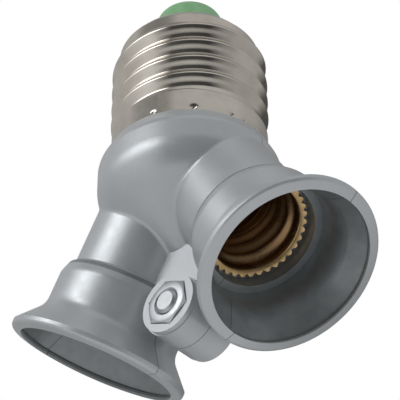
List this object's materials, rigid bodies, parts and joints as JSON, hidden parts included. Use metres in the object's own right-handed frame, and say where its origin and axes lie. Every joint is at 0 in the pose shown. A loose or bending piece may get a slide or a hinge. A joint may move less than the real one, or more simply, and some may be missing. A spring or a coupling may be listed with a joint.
{
  "type": "lamp socket adapter",
  "caption": "Y-shaped lamp socket adapter: a large screw base above and small screw sockets in flared cups below, clamped together by a screw.",
  "frame": {"origin": "centre of the lower edge of the screw base's skirt, where it meets the housing", "axes": "+Z along the screw base towards its tip, +X towards the right socket, -Y towards the half that carries the nut"},
  "size_m": [0.0642, 0.03, 0.072],
  "materials": {
    "housing": "satin",
    "plated_base": "polished",
    "green_insulator": "gloss",
    "brass": "polished",
    "steel": "satin",
    "live_lead": "matte",
    "neutral_lead": "matte"
  },
  "bodies": {
    "adapter": {"front_housing": "housing", "rear_housing": "housing", "base_shell": "plated_base", "base_insulator": "green_insulator", "base_contact": "brass", "clamp_screw": "steel", "clamp_nut": "steel", "right_screw_shell": "brass", "right_contact_spring": "steel", "right_terminal": "brass", "right_live_wire": "live_lead", "right_neutral_wire": "neutral_lead", "left_screw_shell": "brass", "left_contact_spring": "steel", "left_terminal": "brass", "left_live_wire": "live_lead", "left_neutral_wire": "neutral_lead"},
    "right_contact": {"right_contact_pin": "brass", "right_pin_clip": "steel"},
    "left_contact": {"left_contact_pin": "brass", "left_pin_clip": "steel"}
  },
  "joints": [
    {"name": "right_contact_press", "type": "slide", "parent": "adapter", "child": "right_contact", "axis": [-0.5135, 0, 0.8581], "range_m": [0, 0.0012], "stiffness_N_per_m": 2500, "springref_m": -0.0008, "deforming": ["right_contact_spring"]},
    {"name": "left_contact_press", "type": "slide", "parent": "adapter", "child": "left_contact", "axis": [0.5135, 0, 0.8581], "range_m": [0, 0.0012], "stiffness_N_per_m": 2500, "springref_m": -0.0008, "deforming": ["left_contact_spring"]}
  ]
}
